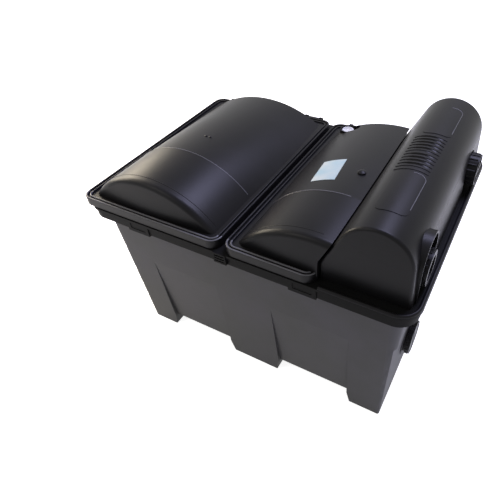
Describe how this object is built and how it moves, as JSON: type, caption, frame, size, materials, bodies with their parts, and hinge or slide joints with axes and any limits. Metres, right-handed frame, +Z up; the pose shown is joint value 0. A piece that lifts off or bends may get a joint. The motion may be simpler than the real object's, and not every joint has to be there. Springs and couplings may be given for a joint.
{
  "type": "pond filter",
  "caption": "Tapered flow-through pond filter tub with rear-hinged domed lids over foam chambers and a half-round inlet hood over a bow screen.",
  "frame": {"origin": "centre of the tub's footprint on the floor, midway between the foot columns", "axes": "+X towards the inlet hood on the right, +Y towards the hinges at the rear, +Z up"},
  "size_m": [0.784, 0.576, 0.5799],
  "materials": {
    "tub_grey": "satin",
    "moulded_black": "satin",
    "inner_grey": "matt",
    "foam_blue": "open foam",
    "foam_red": "open foam",
    "steel": "brushed",
    "seal_rubber": "matt",
    "indicator_white": "gloss",
    "clear_lens": "clear"
  },
  "bodies": {
    "tank": {"tank_tub": "tub_grey", "top_frame": "moulded_black", "partition_mid": "inner_grey", "partition_inlet": "inner_grey", "foam_grid_left": "inner_grey", "foam_grid_right": "inner_grey", "foam_left_1": "foam_blue", "foam_left_2": "foam_blue", "foam_left_3": "foam_blue", "foam_left_4": "foam_blue", "foam_right_1": "foam_red", "foam_right_2": "foam_red", "foam_right_3": "foam_red", "bow_screen": "steel", "inlet_trough": "inner_grey", "trough_weir": "inner_grey", "trough_port_wall": "inner_grey", "trough_end_front": "inner_grey", "trough_end_rear": "inner_grey", "inlet_spigot_front": "moulded_black", "inlet_gasket_front": "seal_rubber", "inlet_locknut_front": "moulded_black", "inlet_spigot_rear": "moulded_black", "inlet_gasket_rear": "seal_rubber", "inlet_locknut_rear": "moulded_black", "outlet_socket": "moulded_black", "outlet_seal": "seal_rubber", "outlet_locknut": "moulded_black", "drain_spigot": "moulded_black", "drain_seal": "seal_rubber", "drain_locknut": "moulded_black", "hinge_pins_left": "steel", "hinge_pins_right": "steel"},
    "lid_left": {"lid_left": "moulded_black", "lid_seal_left": "seal_rubber"},
    "lid_right": {"lid_right": "moulded_black", "lid_seal_right": "seal_rubber", "indicator_dial": "indicator_white", "indicator_lens": "clear_lens"},
    "hood": {"hood": "moulded_black"},
    "latch_left": {"latch_left": "moulded_black"},
    "latch_right": {"latch_right": "moulded_black"},
    "union_nut": {"inlet_union_nut": "moulded_black"},
    "blank_cap": {"inlet_blank_cap": "moulded_black"},
    "drain_cap": {"drain_cap": "moulded_black"}
  },
  "joints": [
    {"name": "lid_left_hinge", "type": "hinge", "parent": "tank", "child": "lid_left", "pos_m": [0, 0.279, 0.434], "axis": [-1, 0, 0], "range_deg": [0, 100]},
    {"name": "lid_right_hinge", "type": "hinge", "parent": "tank", "child": "lid_right", "pos_m": [0, 0.279, 0.434], "axis": [-1, 0, 0], "range_deg": [0, 100]},
    {"name": "hood_lift", "type": "slide", "parent": "tank", "child": "hood", "axis": [0.4617, 0, 0.887], "range_m": [0, 0.25]},
    {"name": "latch_left_press", "type": "slide", "parent": "tank", "child": "latch_left", "axis": [0, 1, 0], "range_m": [0, 0.004], "stiffness_N_per_m": 400},
    {"name": "latch_right_press", "type": "slide", "parent": "tank", "child": "latch_right", "axis": [0, 1, 0], "range_m": [0, 0.004], "stiffness_N_per_m": 400},
    {"name": "inlet_union_nut_turn", "type": "hinge", "parent": "tank", "child": "union_nut", "pos_m": [0.37, -0.19, 0.472], "axis": [1, 0, 0], "continuous": true},
    {"name": "inlet_blank_cap_turn", "type": "hinge", "parent": "tank", "child": "blank_cap", "pos_m": [0.37, 0.152, 0.472], "axis": [1, 0, 0], "continuous": true},
    {"name": "drain_cap_turn", "type": "hinge", "parent": "tank", "child": "drain_cap", "pos_m": [0.37, -0.1, 0.15], "axis": [1, 0, 0], "continuous": true}
  ]
}
